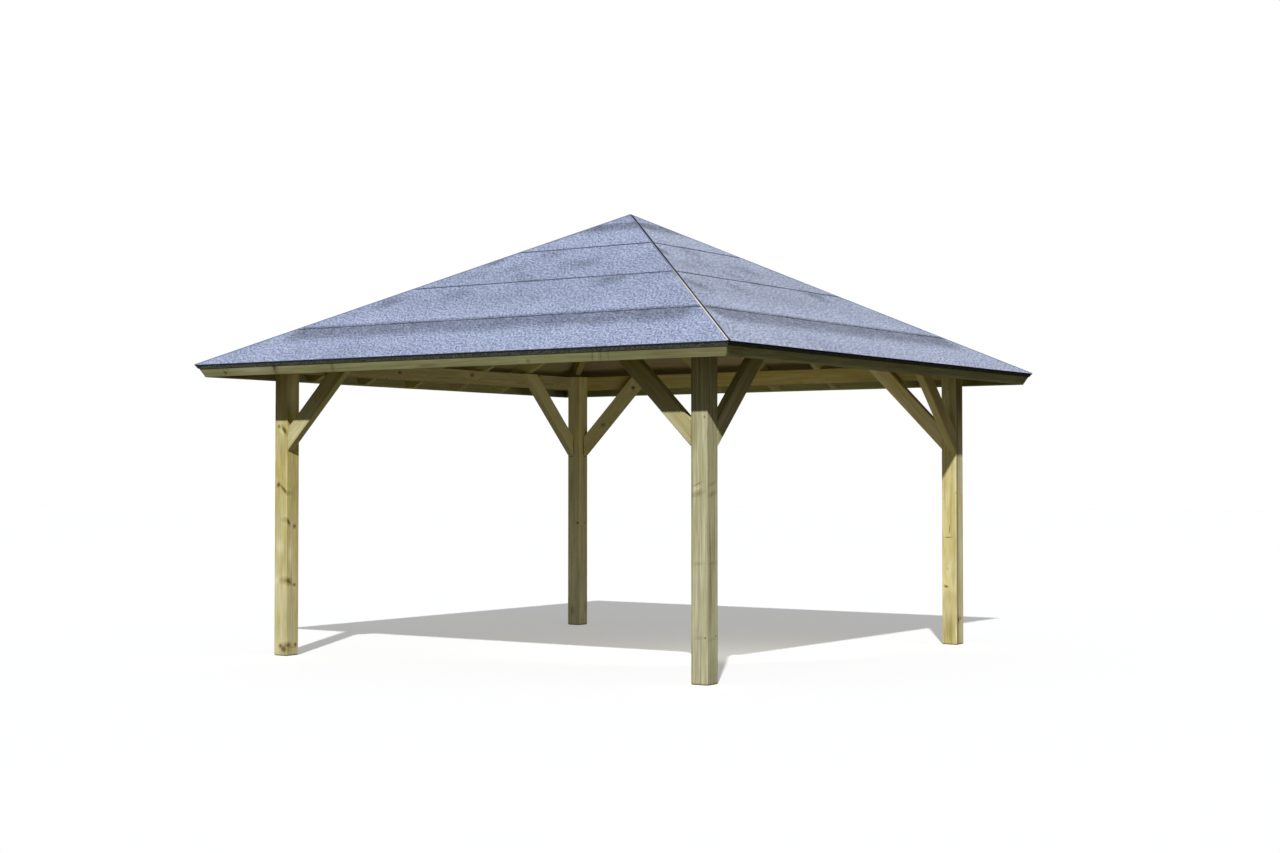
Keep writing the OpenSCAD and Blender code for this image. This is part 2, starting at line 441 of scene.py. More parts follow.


# Sawn and treated softwood. The rings are the fractional part of the distance from the pith over the ring
# width, pulled aside near knots; streaks and patches are noise drawn out along the trunk. Knots have a
# dark middle and a soft edge; marks are only soft, darker or, with a negative amount, paler, and some of
# them are painted shade or painted light. Low down, painted light from the sunlit ground lightens the
# colour towards the bright one.
def woodMaterial(name, look, knots=(), marks=()):
    material, tree = newMaterial(name)
    grain = tree.field("grain")
    toneA, toneB, toneC = tree.split(tree.field("tone"))
    place = tree.add("TexCoord", output="Object")

    # knots anywhere: one in some cells of a long-celled pattern
    cell = look["knotCell"]
    cells = tree.stretch(grain, *(1 / size for size in cell))
    found = tree.add("TexVoronoi", None, {"Vector": cells, "Scale": 1.0}, "Position")
    chance = tree.split(Value(tree, found.socket.node.outputs["Color"]))
    away = tree.add("VectorMath", {"operation": "SUBTRACT"}, {0: cells, 1: found})
    away = tree.add("VectorMath", {"operation": "LENGTH"}, {0: tree.stretch(away, *cell)}, "Value")
    kept = tree.step(chance[1], 1 - look["knotShare"], 1.001 - look["knotShare"], 0.001, 1)
    reach = away / (look["knotSize"] * (0.5 + chance[0]) * kept)
    for knot in knots:
        reach = reach.math("MINIMUM", reach, spotReach(tree, place, knot))
    reach = reach * (0.75 + 0.5 * tree.noise(place, 140, 1))

    # growth rings, heartwood inside them, and bands of slower and faster years
    def pattern(key, output="Fac"):
        times, detail, rough = woodPatterns[key]
        return tree.noise(tree.stretch(grain, *times), 1, detail, rough, output)

    bend = tree.split(pattern("bend", "Color"))
    x, y, z = tree.split(grain)
    x, y = x + (bend[0] - 0.5) * look["bend"], y + (bend[1] - 0.5) * look["bend"]
    radius = (x * x + y * y) ** 0.5
    pull = look["swirl"] / (1 + reach * reach * look["swirlFall"])
    phase = radius / look["ringWidth"] + pull
    late = tree.add("RGBToBW", None, {0: tree.ramp(phase.math("FRACT", phase), ringStops)})
    years = tree.add("CombineXYZ", None, {0: radius * 60 + pull * 0.5, 1: x * 7 + y * 9, 2: z * 0.9})
    years = tree.noise(years, 1, 2, 0.6)
    wide, fine, patch, warm, fibre = map(pattern, ("wide", "fine", "patch", "warm", "fibre"))

    colour = tree.mix(tree.step(radius + (patch - 0.5) * 0.03, look["heart"], look["heart"] + 0.02),
                      look["heartwood"], look["pale"])
    colour = tree.mix(tree.step(warm, *woodBands) * look["warmAmount"], colour, look["warm"])
    colour = tree.mix(late * look["ringDepth"], colour, look["late"])
    colour = tree.mix(tree.step(patch, *patchBands) * look["tintAmount"], colour, look["tint"])
    colour = tree.mix(tree.step(years, *woodBands) * look["yearAmount"], colour, look["streak"])
    colour = tree.mix(tree.step(wide, *woodBands) * look["streakAmount"], colour, look["streak"])
    # painted light from the sunlit ground, lightening the foot towards the bright colour
    low = tree.step(tree.split(place)[2], *paintedFootLight, 1, 0)
    colour = tree.mix(low * look["fade"], colour, look["bright"])
    part = woodShades
    shade = (1 + (toneA - 0.5) * look["vary"] + (fibre - 0.5) * part["fibre"]
             + ((wide - 0.5) * part["wide"] + (years - 0.5) * part["years"]
                + (fine - 0.5) * part["fine"] + (patch - 0.5) * part["patch"]) * look["contrast"])
    for mark in marks:
        soft = tree.step(spotReach(tree, place, mark), 0, 1, 1, 0) * (0.55 + 0.9 * fine)
        target = look["halo"] if mark["amount"] > 0 else look["bright"]
        colour = tree.mix(soft * abs(mark["amount"]), colour, target)
        shade = shade - soft * (mark["amount"] * 0.3)
    for key, amount, *rise, low, high in knotLayers:
        ring = tree.step(reach, low, high, 1, 0)
        if rise:
            ring = tree.step(reach, *rise) * ring
        colour = tree.mix(ring * amount, colour, look[key])
    colour = tree.add("HueSaturation", None, {
        "Hue": 0.5 + (toneB - 0.5) * 0.02, "Saturation": 1 + (toneC - 0.5) * 0.25,
        "Value": shade, "Fac": 1.0, "Color": colour})
    height = fibre * 0.5 - late * 0.25 - ring * 0.6  # the last ring is the knot's rim
    finishMaterial(tree, colour, 0.7 + 0.2 * fibre, height, look["relief"], 0.25)
    return material


print("stage: camera, light and floor")

view = {"place": (7.973, -11.595, 1.228), "turn": (91.49, 0.0, 34.231), "lens": 55.21}
light = {"towards": (0.390, -0.688, 0.6115), "sun": 3.14, "spread": 1.2, "around": 0.125}
# what the sunlit ground sends in under the roof, as one soft lamp near the ground
glowLook = {"place": (1.6, -0.5, 0.75), "towards": (-0.84, 0.54, 0.16), "size": (1.5, 0.9),
            "watts": 10.1, "spread": 130.0, "colour": (1.0, 0.95, 0.79)}
# the floor's colour and lift as seen, and the darker colours that light the timbers from outside and
# inside the posts' square
ground = {"colour": (0.893, 0.90, 0.91, 1), "lift": 0.34, "bounce": (0.117, 0.106, 0.060, 1),
          "innerBounce": (0.215, 0.25, 0.20, 1), "inner": 1.7, "blur": 0.2, "half": 60.0, "z": -0.0005}

scene = bpy.context.scene
scene.view_settings.view_transform = "Standard"
camera = addObject("camera", bpy.data.cameras.new("camera"))
camera.data.lens = view["lens"]
camera.location = view["place"]
camera.rotation_euler = [math.radians(angle) for angle in view["turn"]]
scene.camera = camera

sun = addObject("sun", bpy.data.lights.new("sun", "SUN"))
sun.data.energy = light["sun"]
sun.data.angle = math.radians(light["spread"])
sun.rotation_euler = Vector(light["towards"]).to_track_quat("Z", "Y").to_euler()

glow = addObject("glow", bpy.data.lights.new("glow", "AREA"))
glow.data.shape = "RECTANGLE"
glow.data.size, glow.data.size_y = glowLook["size"]
glow.data.energy, glow.data.color = glowLook["watts"], glowLook["colour"]
glow.data.spread = math.radians(glowLook["spread"])
glow.location = glowLook["place"]
glow.rotation_euler = Vector(glowLook["towards"]).to_track_quat("-Z", "Y").to_euler()
glow.visible_camera = False

scene.world = bpy.data.worlds.new("surroundings")
scene.world.use_nodes = True
air = Tree(scene.world.node_tree)
seen = air.add("LightPath", output="Is Camera Ray")
background = air.add("Background", None, {
    "Color": (1, 1, 1, 1), "Strength": seen + (1 - seen) * light["around"]})
air.add("OutputWorld", None, {"Surface": background})

floorMaterial, tree = newMaterial("floor")
seen = tree.add("LightPath", output="Is Camera Ray")
x, y, z = tree.split(tree.add("TexCoord", output="Object"))
furthest = x.math("MAXIMUM", x.math("ABSOLUTE", x), y.math("ABSOLUTE", y))
inside = tree.step(furthest, ground["inner"] - ground["blur"], ground["inner"] + ground["blur"], 1, 0)
bounce = tree.mix(inside, ground["bounce"], ground["innerBounce"])
pale = tree.mix(seen, bounce, ground["colour"])
diffuse = tree.add("BsdfDiffuse", None, {"Color": pale})
lift = tree.add("Emission", None, {"Strength": seen * ground["lift"]})
tree.add("OutputMaterial", None, {"Surface": tree.add("AddShader", None, {0: diffuse, 1: lift})})
half, z = ground["half"], ground["z"]
floorMesh = bpy.data.meshes.new("floor")
floorMesh.from_pydata([(-half, -half, z), (half, -half, z), (half, half, z), (-half, half, z)], [],
                      [(0, 1, 2, 3)])
floorMesh.materials.append(floorMaterial)
floor = addObject("floor", floorMesh)

print("stage: posts")

# "depth" is how far a knot or mark runs into the post
postLook = {"ease": 0.002, "foot": 0.007, "step": 0.08, "wander": 0.35, "easeRange": (0.6, 1.7),
            "depth": 0.03, "seed": 60, "edgeSeed": 40}
# "fade" is how strongly painted light from the sunlit ground lightens the timber low down
postWood = dict(
    paints(pale=(225, 221, 183), late=(194, 186, 132), tint=(198, 198, 156), streak=(163, 158, 112),
           warm=(214, 205, 146), heartwood=(220, 202, 138), halo=(150, 130, 76), knot=(112, 88, 52),
           rim=(76, 62, 36), bright=(232, 229, 196)),
    warmAmount=0.5, tintAmount=0.5, yearAmount=0.45, streakAmount=0.5, fade=0.2, contrast=1.7, vary=0.06,
    heart=0.045, ringWidth=0.0045, ringDepth=0.5, bend=0.03, swirl=2.2, swirlFall=1.0, relief=0.0006,
    knotCell=(0.11, 0.11, 0.5), knotSize=0.005, knotShare=0.15)
# Each post's own colours, also those of its braces, and how strongly painted light lightens its foot
postTones = {
    "front_right": dict(warmAmount=0.45, contrast=2.3, streakAmount=0.62, fade=0.15),
    "front_left": dict(
        paints(pale=(238, 230, 178), tint=(220, 212, 156), streak=(188, 172, 116), late=(204, 194, 132),
               warm=(214, 204, 112)), warmAmount=1.0, fade=0.35),
    "rear_right": dict(
        paints(pale=(250, 240, 206), tint=(242, 230, 192), streak=(210, 196, 152), late=(222, 206, 166),
               warm=(238, 212, 140)), warmAmount=0.8, fade=0.0),
    "rear_left": dict(
        paints(pale=(234, 226, 178), tint=(218, 208, 158), streak=(184, 172, 120), late=(202, 190, 136),
               warm=(226, 204, 134), bright=(255, 248, 206)), warmAmount=0.7, fade=0.75),
}
# The place of each post's pith, and the larger knots and marks on its front and right faces: across
# from the face's middle, height and half sizes in millimetres, the lean, and for a mark its amount.
# Thin marks 1485 high are painted shadow in the joints at the braces, and flat ones 1405 high painted
# shadow under the braces' tips.
# Broad pale marks 1800 and 1820 high are painted light in the shade under the eaves; the broad dark one
# 1820 high is painted shade there.
postGrowth = {
    "front_right": {
        "pith": (30, 120),
        "front": [(38.7, 1587, 3.5, 5, 0), (41, 280, 3, 4, 0)],
        "right": [(38, 286, 3, 4, 0)],
        "frontMarks": [(-10, 1191, 60, 6, -24, 0.7), (-10, 1166, 65, 16, -20, -0.25),
                       (-10, 1132, 80, 26, -15, 0.4), (0, 718, 70, 20, -6, 0.25),
                       (0, 278, 70, 16, -4, 0.2), (-30, 1500, 30, 160, 4, 0.25),
                       (40, 1450, 20, 250, -3, -0.12), (20, 750, 30, 250, 2, -0.3),
                       # the thin mark 1485 high is painted shadow in the brace's joint
                       (-50, 1000, 12, 6000, 0, 0.25), (-58.5, 1485, 6, 110, 0, 2)],
        "rightMarks": [(0, 1193, 65, 6, -21, 0.7), (0, 1166, 65, 14, -18, -0.15),
                       (0, 1130, 80, 24, -15, 0.4), (0, 720, 70, 18, -6, 0.2), (0, 270, 70, 16, -8, 0.2),
                       (-28, 600, 10, 900, 0, 0.5), (40, 700, 16, 800, 0, -0.35)]},
    "front_left": {
        "pith": (-60, 0),
        "front": [(-22, 1581, 7, 7, 0), (31, 1555, 23, 9, 53), (-22, 1178, 12, 9, -40),
                  (34, 1140, 22, 7, 45), (1, 68, 8, 9, 0), (34, 47, 16, 17, 0)],
        "right": [(-40, 920, 18, 7, 55), (16, 891, 9, 9, 0), (-40, 516, 18, 13, 20), (18, 488, 9, 7, 20),
                  (-39, 74, 17, 11, 0), (30, 73, 8, 8, 0)],
        "frontMarks": [(28, 1556, 36, 14, 53, 1), (8, 1545, 36, 14, 50, -0.6),
                       (-22, 1180, 22, 16, -40, 0.6), (14, 1158, 50, 10, 40, 0.8),
                       (20, 56, 50, 26, 20, 0.45), (-5, 1400, 50, 130, 0, 0.2), (0, 750, 50, 80, 0, -0.4),
                       (-30, 520, 20, 50, 0, -0.5)],
        "rightMarks": [(-40, 921, 30, 10, 55, 0.9), (-14, 495, 42, 10, 43, 0.55), (0, 58, 55, 7, 0, 0.5),
                       (-20, 900, 34, 12, 60, -0.5), (-38, 500, 24, 34, 0, 0.35),
                       # the broad pale mark 1800 high is painted light in the shade under the eaves
                       (10, 1120, 30, 120, 0, 0.3), (0, 1800, 90, 200, 0, -0.6),
                       # the thin mark 1485 high is painted shadow in the brace's joint
                       (0, 1485, 6, 110, 0, 1.6), (-30, 700, 30, 100, 0, -0.4)]},
    "rear_right": {
        "pith": (-10, -60),
        "front": [(-27.5, 426, 9, 5, 10)],
        "right": [(-22, 183, 8, 14, 0), (16, 191, 5, 7, 0)],
        "frontMarks": [(2, 845, 55, 6, 94, 1), (-6, 788, 50, 6, 0, 1), (-26, 428, 26, 14, 10, 0.6),
                       (-2, 1882, 30, 8, -10, 0.4), (-10, 1080, 30, 140, 3, -0.4),
                       (0, 550, 30, 120, 3, -0.4), (0, 360, 50, 100, 0, 0.2), (0, 120, 55, 160, 0, 0.3),
                       # the broad pale mark 1820 high is painted light in the shade under the eaves, the
                       # thin one 1485 high painted shadow in the brace's joint
                       (52, 90, 6, 90, 0, -0.9), (0, 1820, 90, 240, 0, -0.6), (0, 1485, 6, 110, 0, 1.6)],
        # the broad dark mark 1820 high is painted shade under the eaves
        "rightMarks": [(-36, 900, 22, 6000, 0, 0.6), (0, 1820, 90, 300, 0, 0.6),
                       (-22, 185, 16, 34, 0, 0.5), (25, 600, 30, 500, 0, -0.5)]},
    "rear_left": {
        "pith": (-10, -60),
        "front": [(44, 851, 4, 5, 0)],
        "right": [(20, 850, 3, 4, 0)],
        # the thin marks 1485 high are painted shadow in the braces' joints, the flat ones 1405 high
        # painted shadow under the braces' tips
        "frontMarks": [(40, 850, 22, 18, 0, 0.7), (-10, 120, 40, 70, 0, 0.35), (1, 1485, 6, 110, 0, 2),
                       (-29, 1405, 34, 8, 0, 0.8)],
        "rightMarks": [(-42, 900, 18, 6000, 0, -0.2), (30, 150, 30, 80, 0, 0.3), (-1, 1485, 6, 110, 0, 2),
                       (29, 1405, 34, 8, 0, 0.8)]},
}


def postSpots(low, high, growth, suffix):
    # the listed knots or marks of both faces as places, half sizes and turns for the wood
    middle, depth = (low + high) / 2, postLook["depth"]
    found = []
    for face in ("front", "right"):
        for *measures, lean, amount in ([*row, 0][:6] for row in growth[face + suffix]):
            across, z, long, wide = millimetres(measures)
            if face == "front":
                at, size, turn = (middle[0] + across, low[1], z), (long, depth, wide), (0, lean, 0)
            else:
                at, size, turn = (high[0], middle[1] + across, z), (depth, long, wide), (-lean, 0, 0)
            found.append({"at": at, "size": size, "turn": turn, "amount": amount})
    return found


# A post is the timber above with its own rows: the foot's edges are taken off a little more than the
# others, and the width of the eased corners wanders.
def postRows(low, high, i):
    half, height = (high[0] - low[0]) / 2, high[2] - low[2]
    ease, foot, step = postLook["ease"], postLook["foot"], postLook["step"]
    z = np.concatenate([[0, foot * 0.4, foot], np.arange(step, height - 0.03, step),
                        [height - ease, height]])
    inset = np.zeros(len(z))
    inset[[0, 1, -1]] = foot, foot * 0.3, ease
    return easedRows(z / height, half - inset, half - inset, ease, postLook["edgeSeed"] + i, postLook)


for i, corner in enumerate(cornerNames):
    low, high = boxOf("post_" + corner)
    foot = np.array([(low[0] + high[0]) / 2, (low[1] + high[1]) / 2, low[2]])
    growth = postGrowth[corner]
    solid = timber(foot, outwards(i), outwards(i + 1), zUp, postRows(low, high, i),
                   (low, zUp), (high, zUp), postLook["seed"] + i, millimetres(growth["pith"]))
    darkFootRim = {"at": foot, "size": (0.3, 0.3, 0.018), "amount": 0.5}  # a darker rim at the ground
    wood = woodMaterial("post_pine_" + corner, {**postWood, **postTones[corner]},
                        postSpots(low, high, growth, ""),
                        postSpots(low, high, growth, "Marks") + [darkFootRim])
    makePiece("post_timber_" + corner, [solid], wood, "post_timber", "post_" + corner)

print("stage: beams and braces")

frameLook = {"ease": 0.003, "gap": 0.004, "beamSeed": 90, "beamEdges": 80, "braceSeed": 110,
             "braceEdges": 100}
frameWood = dict(
    postWood, **paints(pale=(214, 206, 150), tint=(192, 184, 126), late=(170, 152, 90),
                       streak=(156, 146, 92), warm=(206, 180, 108)),
    contrast=1.1, vary=0.14, knotShare=0.35, knotSize=0.007)
beamWood = dict(frameWood, **paints(warm=(210, 178, 98)), warmAmount=0.6, ringDepth=0.8, swirl=6.0,
                swirlFall=0.08)
# knots and marks on the beams and braces: place, half sizes and amount
frameKnots = spots([(-1770, 382, 2025, 30, 10, 6), (-1770, -470, 2011, 30, 11, 6),
                    (-1150, 1713, 1967, 10, 30, 5)])
frameMarks = spots([(-1453, 1713, 1665, 45, 40, 30, 0.6), (-1150, 1713, 1965, 20, 40, 35, 0.8),
                    (-1145, 1713, 1965, 45, 40, 12, 0.7), (-1770, 385, 2035, 30, 55, 26, 0.8),
                    (-1770, -470, 2020, 30, 55, 26, 0.7)])
framePine = woodMaterial("frame_pine", frameWood, frameKnots, frameMarks)
beamPine = woodMaterial("beam_pine", beamWood, frameKnots, frameMarks)
bracePines = {}
for corner in cornerNames:
    braceWood = {**postWood, **postTones[corner], "contrast": 1.1, "knotShare": 0.0}
    bracePines[corner] = woodMaterial("brace_pine_" + corner, braceWood, frameKnots, frameMarks)

for i, side in enumerate(sideNames):
    points = nodePoints("beam_" + side)
    low, high = points.min(0), points.max(0)
    middle, size = (low + high) / 2, high - low
    across, way = np.abs(outwards(i)), np.abs(sideways(i))
    length = size @ way
    rows = evenRows(length, size @ across / 2, size[2] / 2, frameLook["ease"], frameLook["beamEdges"] + i)
    solid = timber(middle, across, zUp, way, rows, (low, way), (high, way), frameLook["beamSeed"] + i)
    makePiece("beam_timber_" + side, [solid], beamPine, "frame_timber", "beam_" + side)

for i, side in enumerate(sideNames):
    for k, other in ((1, sideNames[(i + 1) % 4]), (-1, sideNames[i - 1])):
        node = f"brace_{side}_{other}"
        points = nodePoints(node)
        level, w, z = points @ outwards(i), points @ sideways(i) * k, points[:, 2]
        top, bottom = z.max(), z.min()
        foot, tip = w.max(), w.min()
        cut = w[z > top - 1e-4].max() - tip  # level width of the brace's upper end
        way = -sideways(i) * k * (foot - tip) + zUp * (top - bottom)
        length = np.linalg.norm(way)
        way = way / length
        up = np.cross(outwards(i), way)
        start = (outwards(i) * (level.max() + level.min()) / 2 + sideways(i) * k * foot
                 + zUp * (bottom + cut * (top - bottom) / (foot - tip) / 2))
        wide = cut * (top - bottom) / length
        own = 2 * i + k  # each brace's own share of the seeds
        rows = evenRows(length, (level.max() - level.min()) / 2, wide / 2, frameLook["ease"],
                        frameLook["braceEdges"] + own)
        seat = start - sideways(i) * k * frameLook["gap"]  # the braces don't quite meet the posts
        solid = timber(start, outwards(i), up, way, rows, (seat, sideways(i)),
                       (zUp * top, zUp), frameLook["braceSeed"] + own)
        wood = bracePines[cornerNames[i if k == 1 else i - 1]]
        makePiece(node + "_timber", [solid], wood, "frame_timber", node)

print("stage: rafters and king block")

rafterLook = {"ease": 0.0025, "apart": 0.1, "seed": 200, "hipSeed": 250, "kingSeed": 260}
for i, side in enumerate(sideNames):
    node = "rafters_" + side
    mesh = easedCopy(node, rafterLook["ease"])
    s, d, w = slopeCoords(i, meshPoints(mesh))
    # points of one rafter lie together, so a wide gap starts the next one
    lines = np.unique(np.round(w, 3))
    rafters = np.split(lines, np.flatnonzero(np.diff(lines) > rafterLook["apart"]) + 1)
    middles = np.array([(line[0] + line[-1]) / 2 for line in rafters])
    which = np.abs(w[:, None] - middles[None, :]).argmin(1)
    local = np.stack([w - middles[which], d, s], -1)
    grain, tone = np.zeros_like(local), np.zeros_like(local)
    for k in range(len(middles)):
        fields = woodFields(local[which == k], rafterLook["seed"] + 10 * i + k)
        grain[which == k], tone[which == k] = fields["grain"], fields["tone"]
    setFields(mesh, {"grain": grain, "tone": tone})
    makePiece("rafter_timbers_" + side, mesh, framePine, "frame_timber", node)

for i, corner in enumerate(cornerNames):
    node = "hip_rafter_" + corner
    mesh = easedCopy(node, rafterLook["ease"])
    points = meshPoints(mesh)
    out = hipWay(i)
    fall = math.tan(pitch) / 2 ** 0.5
    way = (out - zUp * fall) / (1 + fall ** 2) ** 0.5
    across = np.cross(zUp, out)
    up = np.cross(way, across)
    local = np.stack([points @ across, (points - zUp * peak) @ up, points @ way], -1)
    setFields(mesh, woodFields(local, rafterLook["hipSeed"] + i))
    makePiece("hip_timber_" + corner, mesh, framePine, "frame_timber", node)

mesh = easedCopy("king_block", rafterLook["ease"])
setFields(mesh, woodFields(meshPoints(mesh), rafterLook["kingSeed"]))
makePiece("king_timber", mesh, framePine, "frame_timber", "king_block")

print("stage: roof boards")

boardLook = {"width": 0.112, "vee": 0.004, "seed": 300}
boardWood = dict(
    frameWood, **paints(pale=(192, 178, 138), tint=(180, 165, 126), streak=(168, 154, 116),
                        late=(174, 159, 120), heartwood=(194, 178, 136), warm=(192, 174, 130)),
    vary=0.06, contrast=0.5, knotShare=0.15, knotCell=(0.1, 0.1, 0.4))
boardPine = woodMaterial("board_pine", boardWood)


# A roof board is an outline of s and d carried along the side: w goes from hip to hip, which is from
# minus to plus the level distance s cos p - d sin p. Its two lower edges are cut off for the V joints.
def roofBoard(i, s0, s1, d0, d1, seed):
    vee = boardLook["vee"]
    inner = min(s0 + vee, s1)
    outer = max(s1 - vee, inner)
    s = np.array([s0, inner, outer, s1, s1, outer, inner, s0])
    d = np.array([d0, d0, d0, d0, d1 - vee, d1, d1, d1 - vee])
    s = np.maximum(s, d * sinPitch / cosPitch)
    v = np.linspace(-1, 1, 9)[:, None]
    w = v * (s * cosPitch - d * sinPitch)
    points = slopePoint(i, s + 0 * v, d + 0 * v, w)
    local = np.stack([s - (s0 + s1) / 2 + 0 * w, d + 0 * w, w], -1)
    return closedTube(points, woodFields(local, seed))


for i, side in enumerate(sideNames):
    sEave, d0, d1 = slopeRange("roof_boards_" + side, i)[1:]
    count = math.ceil(sEave / boardLook["width"])
    edges = np.maximum(sEave - boardLook["width"] * np.arange(count + 1), 0)
    solids = [roofBoard(i, edges[k + 1], edges[k], d0, d1, boardLook["seed"] + 40 * i + k)
              for k in range(count)]
    makePiece("tongued_boards_" + side, solids, boardPine, "board_timber", "roof_boards_" + side)

print("stage: fascias")

fasciaLook = {"ease": 0.003, "step": 0.06, "seed": 510, "edgeSeed": 500}
fasciaWood = dict(
    postWood, **paints(pale=(200, 198, 146), tint=(168, 172, 120), late=(160, 158, 104),
                       streak=(142, 146, 98), heartwood=(186, 182, 124), warm=(180, 168, 104)),
    knotCell=(0.1, 0.1, 0.55), knotShare=0.3, vary=0.05)
# knots and stains on the front fascia's face
fasciaKnots = spots([(-1418, -2132, 1967, 9, 40, 9), (-1894, -2119, 1942, 6, 40, 7)])
fasciaMarks = spots([(x, -2120, z, wide, 60, tall, amount, lean) for x, z, wide, tall, amount, lean in (
    (-1432, 1965, 16, 60, 1, -12), (-1425, 1950, 50, 60, 0.5, 0), (-1385, 1975, 14, 50, 0.5, 30),
    (-1905, 1945, 12, 50, 0.8, 0), (-1870, 1960, 10, 45, 0.5, 12), (-907, 1955, 28, 80, 0.6, 10),
    (-100, 1935, 140, 18, 0.6, 0), (700, 1935, 30, 22, 0.7, 0), (1185, 1950, 7, 70, 0.7, 18),
    (1245, 1950, 7, 70, 0.7, 18), (1215, 1950, 16, 70, -0.15, 18), (1300, 1950, 10, 70, 0.4, 12),
    (1750, 1950, 450, 50, 0.2, 0), (-1650, 1960, 200, 30, -0.3, 0), (-1600, 1950, 500, 60, -0.2, 0))])
fasciaPine = woodMaterial("fascia_pine", fasciaWood, fasciaKnots, fasciaMarks)

for i, side in enumerate(sideNames):
    middle, wide, deep, rows = stripRows("fascia_" + side, i, fasciaLook)
    solid = timber(middle, downSlope(i), intoSlope(i), sideways(i), rows,
                   hipPlane(i, -1), hipPlane(i, 1), fasciaLook["seed"] + i)
    makePiece("fascia_timber_" + side, [solid], fasciaPine, "fascia_timber", "fascia_" + side)

print("stage: felt")

# heights of the sheets' lower edges above the eaves, their laps and thickness, how high they wave and
# lift at an edge, the grid, and how far the pattern is drawn out
feltLook = {"laps": (0.0, 0.552, 1.198, 1.791), "cover": 0.08, "thick": 0.0015, "body": 0.96,
            "wave": 0.0008, "lift": 0.0012, "liftFade": 0.07, "peakFade": (0.01, 0.05), "phase": 6.28,
            "across": 160, "down": 0.022, "drawn": 2.1, "seed": 600}
feltWaves = ((0.9, 0.9, 1.0), (0.45, 0.5, 0.6), (0.27, 0.4, 0.4))  # lengths along and up, share
feltWear = {"stops": [(0.05, paint(98, 109, 144)), (0.45, paint(154, 166, 201)),
                      (0.95, paint(213, 224, 251))],
            "bitumen": paint(46, 52, 82), "granule": 0.3, "bled": 0.85, "dulling": 0.42}
# fine, coarse and wide mottling of the felt: how many to a metre, detail, roughness and strength
feltSpeckle = ((96, 2, 0.65, 3.2), (26, 2, 0.5, 0.35), (4, 3, 0.6, 0.3))
# the right and rear sides are made lighter and greyer as painted sheen
feltSideSheen = {"right": 1.17, "rear": 1.12, "left": 1.03, "front": 1.03}  # lightness of each side
# lightness down the slope, from the peak to the eaves
feltShade = ((0.16, 0.92), (0.45, 1.01), (0.58, 1.01), (0.72, 0.96), (0.85, 0.94), (1.0, 0.89),
             (1.15, 0.91), (1.3, 0.91), (1.45, 0.93), (1.6, 0.92), (1.76, 1.0), (2.2, 1.01), (2.42, 0.97))
dirtLook = {"edge": 0.03, "wander": 0.08, "after": 0.2, "before": 0.3, "spotWander": 0.15,
            "spot": (0.1, 1.45), "most": 1.1}
# dirt in bands that start and end down the slope, fade over a distance and reach so far to each side,
# and in soft spots across and down the slope with their half sizes; the strength last
feltBands = ((1.862, 2.0, 0.13, 1.64, 1.0), (0.185, 0.27, 0.1, 0.5, 0.85))
feltSpots = (
    (-0.17, 0.635, 0.12, 0.02, 0.7), (-0.2, 0.72, 0.1, 0.08, 0.6), (-0.67, 0.8, 0.07, 0.1, 1.0),
    (-0.65, 1.04, 0.09, 0.09, 0.5), (-0.38, 0.95, 0.11, 0.08, 0.35), (0.06, 0.93, 0.1, 0.09, 0.4),
    (0.22, 0.97, 0.11, 0.1, 0.5), (-0.23, 1.15, 0.1, 0.1, 0.45), (-0.09, 1.235, 0.13, 0.03, 0.9),
    (0.64, 1.33, 0.13, 0.11, 0.7), (0.66, 1.27, 0.22, 0.05, 0.3), (-1.14, 1.45, 0.11, 0.11, 0.85),
    (-0.59, 1.38, 0.1, 0.11, 0.45), (-0.2, 1.48, 0.75, 0.14, 0.22), (-0.36, 0.57, 0.07, 0.06, 0.3),
    (-0.1, 0.26, 0.1, 0.06, 0.3), (-1.3, 2.28, 0.12, 0.09, 0.2), (-0.88, 2.32, 0.25, 0.12, 0.25),
    (-0.4, 2.35, 0.14, 0.08, 0.15), (1.52, 1.75, 0.1, 0.1, 0.3), (1.69, 1.97, 0.06, 0.07, 0.5),
)


# Dirt at s down and w along a slope. A band is an S-curve down at its start times one up at its end and
# one at its sides; a spot falls off with the distance from its middle counted in its half sizes. Soft
# random changes along the side make the edges wander. The shade down the slope is added as dirt.
def dirtOn(s, w, seed):
    look, edge = dirtLook, dirtLook["edge"]
    drift = smoothRandom(w.shape[1], seed)[None, :]
    total = np.zeros_like(s + w)
    for start, end, fade, half, strength in feltBands:
        low = end + (look["after"] + look["wander"] * drift) * fade
        total += (strength * smoothStep(s, start - edge, start)
                  * (1 - smoothStep(s, low - look["before"] * fade, low + fade))
                  * (1 - smoothStep(np.abs(w + 0.01), half - edge, half + edge)))
    for across, down, wide, long, strength in feltSpots:
        reach = np.hypot((w - across) / wide, (s - down) / long)
        total += strength * (1 - smoothStep(reach * (1 + look["spotWander"] * drift), *look["spot"]))
    dulled = (1 - np.interp(s, *zip(*feltShade))) / feltWear["dulling"]
    return np.clip(total, 0, look["most"]) + dulled


